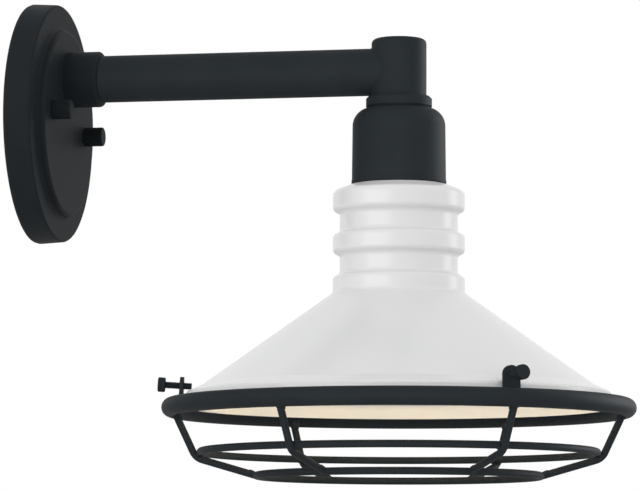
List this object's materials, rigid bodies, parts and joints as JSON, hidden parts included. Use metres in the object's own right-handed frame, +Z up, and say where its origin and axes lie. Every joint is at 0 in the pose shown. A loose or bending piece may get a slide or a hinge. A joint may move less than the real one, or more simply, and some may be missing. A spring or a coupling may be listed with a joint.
{
  "type": "outdoor wall sconce",
  "caption": "Outdoor wall sconce with a stepped round backplate, straight arm, beaded white cone shade and black wire guard on thumbscrews",
  "frame": {"origin": "on the wall plane, midway between the two box screws, at the centre of the round backplate", "axes": "+X points out of the wall along the arm, +Z points up, +Y completes a right-handed frame"},
  "size_m": [0.3954, 0.3048, 0.314],
  "materials": {
    "black_coat": "fine textured satin powder coat",
    "white_enamel": "gloss porcelain enamel",
    "zinc_steel": "zinc plated",
    "green_zinc": "green dyed",
    "brass": "plain",
    "porcelain": "glazed",
    "holder_plastic": "moulded",
    "cast_aluminium": "as turned",
    "lamp_aluminium": "rolled thread",
    "rubber": "closed cell",
    "dark_glass": "fused",
    "lamp_white": "moulded",
    "lamp_opal": "opal, lit warm"
  },
  "bodies": {
    "fixture": {"box_strap": "zinc_steel", "fixture_strap": "zinc_steel", "pivot_screw": "zinc_steel", "ground_screw": "green_zinc", "mounting_studs": "zinc_steel", "stud_lock_nuts": "zinc_steel", "wall_gasket": "rubber", "backplate": "black_coat", "arm_nipple": "zinc_steel", "arm_washer": "zinc_steel", "arm_lock_nut": "zinc_steel", "arm_collar": "black_coat", "arm_tube": "black_coat", "tee_housing": "black_coat", "cup_nipple": "zinc_steel", "cup_ring": "black_coat", "socket_cup": "black_coat", "cup_lock_nut": "zinc_steel", "holder_cap": "holder_plastic", "cap_screws": "zinc_steel", "holder_body": "porcelain", "screw_shell": "brass", "holder_contact": "brass", "shade_seal": "rubber", "shade_neck": "white_enamel", "shade_cone": "white_enamel", "shade_brim": "white_enamel", "shade_clamp": "cast_aluminium"},
    "guard": {"guard_rim_ring": "black_coat", "guard_mid_ring": "black_coat", "guard_low_ring": "black_coat", "guard_rib_1": "black_coat", "guard_rib_2": "black_coat", "guard_rib_3": "black_coat", "guard_rib_4": "black_coat", "guard_rib_5": "black_coat", "guard_rib_6": "black_coat", "guard_tab_1": "black_coat", "guard_tab_2": "black_coat", "guard_tab_3": "black_coat"},
    "thumbscrew_shank_1": {"screw_shank_1": "black_coat"},
    "thumbscrew_head_1": {"screw_head_1": "black_coat"},
    "thumbscrew_shank_2": {"screw_shank_2": "black_coat"},
    "thumbscrew_head_2": {"screw_head_2": "black_coat"},
    "thumbscrew_shank_3": {"screw_shank_3": "black_coat"},
    "thumbscrew_head_3": {"screw_head_3": "black_coat"},
    "nut_insert_left": {"nut_insert_left": "brass"},
    "barrel_nut_left": {"barrel_nut_left": "black_coat"},
    "nut_insert_right": {"nut_insert_right": "brass"},
    "barrel_nut_right": {"barrel_nut_right": "black_coat"},
    "lamp_foot": {"lamp_button": "brass"},
    "lamp": {"lamp_glass": "dark_glass", "lamp_shell": "lamp_aluminium", "lamp_collar": "lamp_white", "lamp_globe": "lamp_opal"}
  },
  "joints": [
    {"name": "guard_turn", "type": "hinge", "parent": "fixture", "child": "guard", "pos_m": [0.243, 0, -0.1893], "axis": [0, 0, 1], "continuous": true},
    {"name": "thumbscrew_1_travel", "type": "slide", "parent": "guard", "child": "thumbscrew_shank_1", "axis": [-0.9824, -0.1768, 0.061], "range_m": [0, 0.0048]},
    {"name": "thumbscrew_1_turn", "type": "hinge", "parent": "thumbscrew_shank_1", "child": "thumbscrew_head_1", "pos_m": [0.11191, -0.02359, -0.17542], "axis": [-0.9824, -0.1768, 0.061], "range_deg": [0, 2165]},
    {"name": "thumbscrew_2_travel", "type": "slide", "parent": "guard", "child": "thumbscrew_shank_2", "axis": [0.6443, -0.7624, 0.061], "range_m": [0, 0.0048]},
    {"name": "thumbscrew_2_turn", "type": "hinge", "parent": "thumbscrew_shank_2", "child": "thumbscrew_head_2", "pos_m": [0.32898, -0.10174, -0.17542], "axis": [0.6443, -0.7624, 0.061], "range_deg": [0, 2165]},
    {"name": "thumbscrew_3_travel", "type": "slide", "parent": "guard", "child": "thumbscrew_shank_3", "axis": [0.3381, 0.9391, 0.061], "range_m": [0, 0.0048]},
    {"name": "thumbscrew_3_turn", "type": "hinge", "parent": "thumbscrew_shank_3", "child": "thumbscrew_head_3", "pos_m": [0.28812, 0.12533, -0.17542], "axis": [0.3381, 0.9391, 0.061], "range_deg": [0, 2165]},
    {"name": "barrel_nut_left_travel", "type": "slide", "parent": "fixture", "child": "nut_insert_left", "axis": [1, 0, 0], "range_m": [0, 0.00873]},
    {"name": "barrel_nut_left_turn", "type": "hinge", "parent": "nut_insert_left", "child": "barrel_nut_left", "pos_m": [0.0228, -0.03978, 0.00418], "axis": [1, 0, 0], "range_deg": [0, 3965]},
    {"name": "barrel_nut_right_travel", "type": "slide", "parent": "fixture", "child": "nut_insert_right", "axis": [1, 0, 0], "range_m": [0, 0.00873]},
    {"name": "barrel_nut_right_turn", "type": "hinge", "parent": "nut_insert_right", "child": "barrel_nut_right", "pos_m": [0.0228, 0.03978, -0.00418], "axis": [1, 0, 0], "range_deg": [0, 3965]},
    {"name": "lamp_travel", "type": "slide", "parent": "fixture", "child": "lamp_foot", "axis": [0, 0, -1], "range_m": [0, 0.02178]},
    {"name": "lamp_turn", "type": "hinge", "parent": "lamp_foot", "child": "lamp", "pos_m": [0.243, 0, -0.0558], "axis": [0, 0, -1], "range_deg": [0, 2165]}
  ],
  "couplings": [
    {"joint": "thumbscrew_1_turn", "follows": "thumbscrew_1_travel", "rad_per_m": 7854},
    {"joint": "thumbscrew_2_turn", "follows": "thumbscrew_2_travel", "rad_per_m": 7854},
    {"joint": "thumbscrew_3_turn", "follows": "thumbscrew_3_travel", "rad_per_m": 7854},
    {"joint": "barrel_nut_left_turn", "follows": "barrel_nut_left_travel", "rad_per_m": 7913.3},
    {"joint": "barrel_nut_right_turn", "follows": "barrel_nut_right_travel", "rad_per_m": 7913.3},
    {"joint": "lamp_turn", "follows": "lamp_travel", "rad_per_m": 1730.9}
  ]
}
